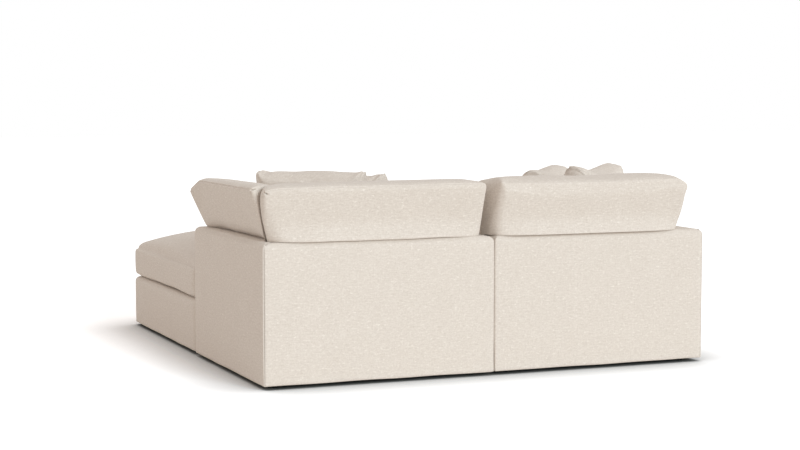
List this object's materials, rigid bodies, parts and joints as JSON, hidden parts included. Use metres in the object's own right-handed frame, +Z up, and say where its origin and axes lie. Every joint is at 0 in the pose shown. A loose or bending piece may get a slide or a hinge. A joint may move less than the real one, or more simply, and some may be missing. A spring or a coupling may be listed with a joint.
{
  "type": "sectional sofa with chaise",
  "caption": "L-shaped sectional sofa: corner seat modules side by side with box arms, an ottoman as the chaise, loose crowned cushions and throw pillows.",
  "frame": {"origin": "centre of the bounding box, at floor level", "axes": "+Z up; -Y the way the seats face, towards the ottoman; +X towards the chaise side"},
  "size_m": [1.9488, 2.0984, 0.8235],
  "materials": {
    "cover_linen": "heathered plain weave",
    "cushion_linen": "heathered plain weave",
    "pillow_linen": "heathered plain weave",
    "deck_felt": "needled felt",
    "webbing": "woven elastic strap",
    "dust_cloth": "spunbonded cloth",
    "timber": "planed, unfinished",
    "foot_plastic": "moulded satin",
    "hook_steel": "zinc plated"
  },
  "bodies": {
    "modules": {"chaise_seat_back_cover": "cover_linen", "chaise_seat_arm_cover": "cover_linen", "chaise_seat_base_cover": "cover_linen", "chaise_seat_back_frame": "timber", "chaise_seat_arm_frame": "timber", "chaise_seat_front_rail": "timber", "chaise_seat_rear_rail": "timber", "chaise_seat_inner_rail": "timber", "chaise_seat_outer_rail": "timber", "chaise_seat_webbing": "webbing", "chaise_seat_deck_pad": "deck_felt", "chaise_seat_foot_front_inner": "foot_plastic", "chaise_seat_foot_front_outer": "foot_plastic", "chaise_seat_foot_rear_inner": "foot_plastic", "chaise_seat_foot_rear_outer": "foot_plastic", "chaise_seat_dust_cloth": "dust_cloth", "end_seat_back_cover": "cover_linen", "end_seat_arm_cover": "cover_linen", "end_seat_base_cover": "cover_linen", "end_seat_back_frame": "timber", "end_seat_arm_frame": "timber", "end_seat_front_rail": "timber", "end_seat_rear_rail": "timber", "end_seat_inner_rail": "timber", "end_seat_outer_rail": "timber", "end_seat_webbing": "webbing", "end_seat_deck_pad": "deck_felt", "end_seat_foot_front_inner": "foot_plastic", "end_seat_foot_front_outer": "foot_plastic", "end_seat_foot_rear_inner": "foot_plastic", "end_seat_foot_rear_outer": "foot_plastic", "end_seat_dust_cloth": "dust_cloth", "ottoman_base_cover": "cover_linen", "ottoman_front_rail": "timber", "ottoman_rear_rail": "timber", "ottoman_inner_rail": "timber", "ottoman_outer_rail": "timber", "ottoman_webbing": "webbing", "ottoman_deck_pad": "deck_felt", "ottoman_foot_front_inner": "foot_plastic", "ottoman_foot_front_outer": "foot_plastic", "ottoman_foot_rear_inner": "foot_plastic", "ottoman_foot_rear_outer": "foot_plastic", "ottoman_dust_cloth": "dust_cloth", "chaise_seat_side_hook": "hook_steel", "end_seat_side_hook": "hook_steel", "chaise_seat_front_hook": "hook_steel", "ottoman_hook": "hook_steel"},
    "chaise_seat": {"chaise_seat_cushion": "cushion_linen"},
    "end_seat": {"end_seat_cushion": "cushion_linen"},
    "ottoman_top": {"ottoman_cushion": "cushion_linen"},
    "chaise_back": {"chaise_back_cushion": "cushion_linen"},
    "chaise_side": {"chaise_side_cushion": "cushion_linen"},
    "chaise_corner": {"chaise_corner_pillow": "pillow_linen"},
    "chaise_front": {"chaise_front_pillow": "pillow_linen"},
    "end_back": {"end_back_cushion": "cushion_linen"},
    "end_corner": {"end_corner_pillow": "pillow_linen"},
    "end_front": {"end_front_pillow": "pillow_linen"}
  },
  "joints": [
    {"name": "lift_chaise_seat", "type": "slide", "parent": "modules", "child": "chaise_seat", "axis": [0, 0, 1], "range_m": [0, 0.35]},
    {"name": "lift_end_seat", "type": "slide", "parent": "modules", "child": "end_seat", "axis": [0, 0, 1], "range_m": [0, 0.35]},
    {"name": "lift_ottoman_top", "type": "slide", "parent": "modules", "child": "ottoman_top", "axis": [0, 0, 1], "range_m": [0, 0.35]},
    {"name": "lift_chaise_back", "type": "slide", "parent": "chaise_seat", "child": "chaise_back", "axis": [0, 0, 1], "range_m": [0, 0.2]},
    {"name": "lift_chaise_side", "type": "slide", "parent": "chaise_seat", "child": "chaise_side", "axis": [0, 0, 1], "range_m": [0, 0.2]},
    {"name": "lift_chaise_corner", "type": "slide", "parent": "chaise_seat", "child": "chaise_corner", "axis": [0, 0, 1], "range_m": [0, 0.4]},
    {"name": "lift_chaise_front", "type": "slide", "parent": "chaise_seat", "child": "chaise_front", "axis": [0, 0, 1], "range_m": [0, 0.4]},
    {"name": "lift_end_back", "type": "slide", "parent": "end_seat", "child": "end_back", "axis": [0, 0, 1], "range_m": [0, 0.2]},
    {"name": "lift_end_corner", "type": "slide", "parent": "end_seat", "child": "end_corner", "axis": [0, 0, 1], "range_m": [0, 0.4]},
    {"name": "lift_end_front", "type": "slide", "parent": "end_seat", "child": "end_front", "axis": [0, 0, 1], "range_m": [0, 0.4]}
  ]
}
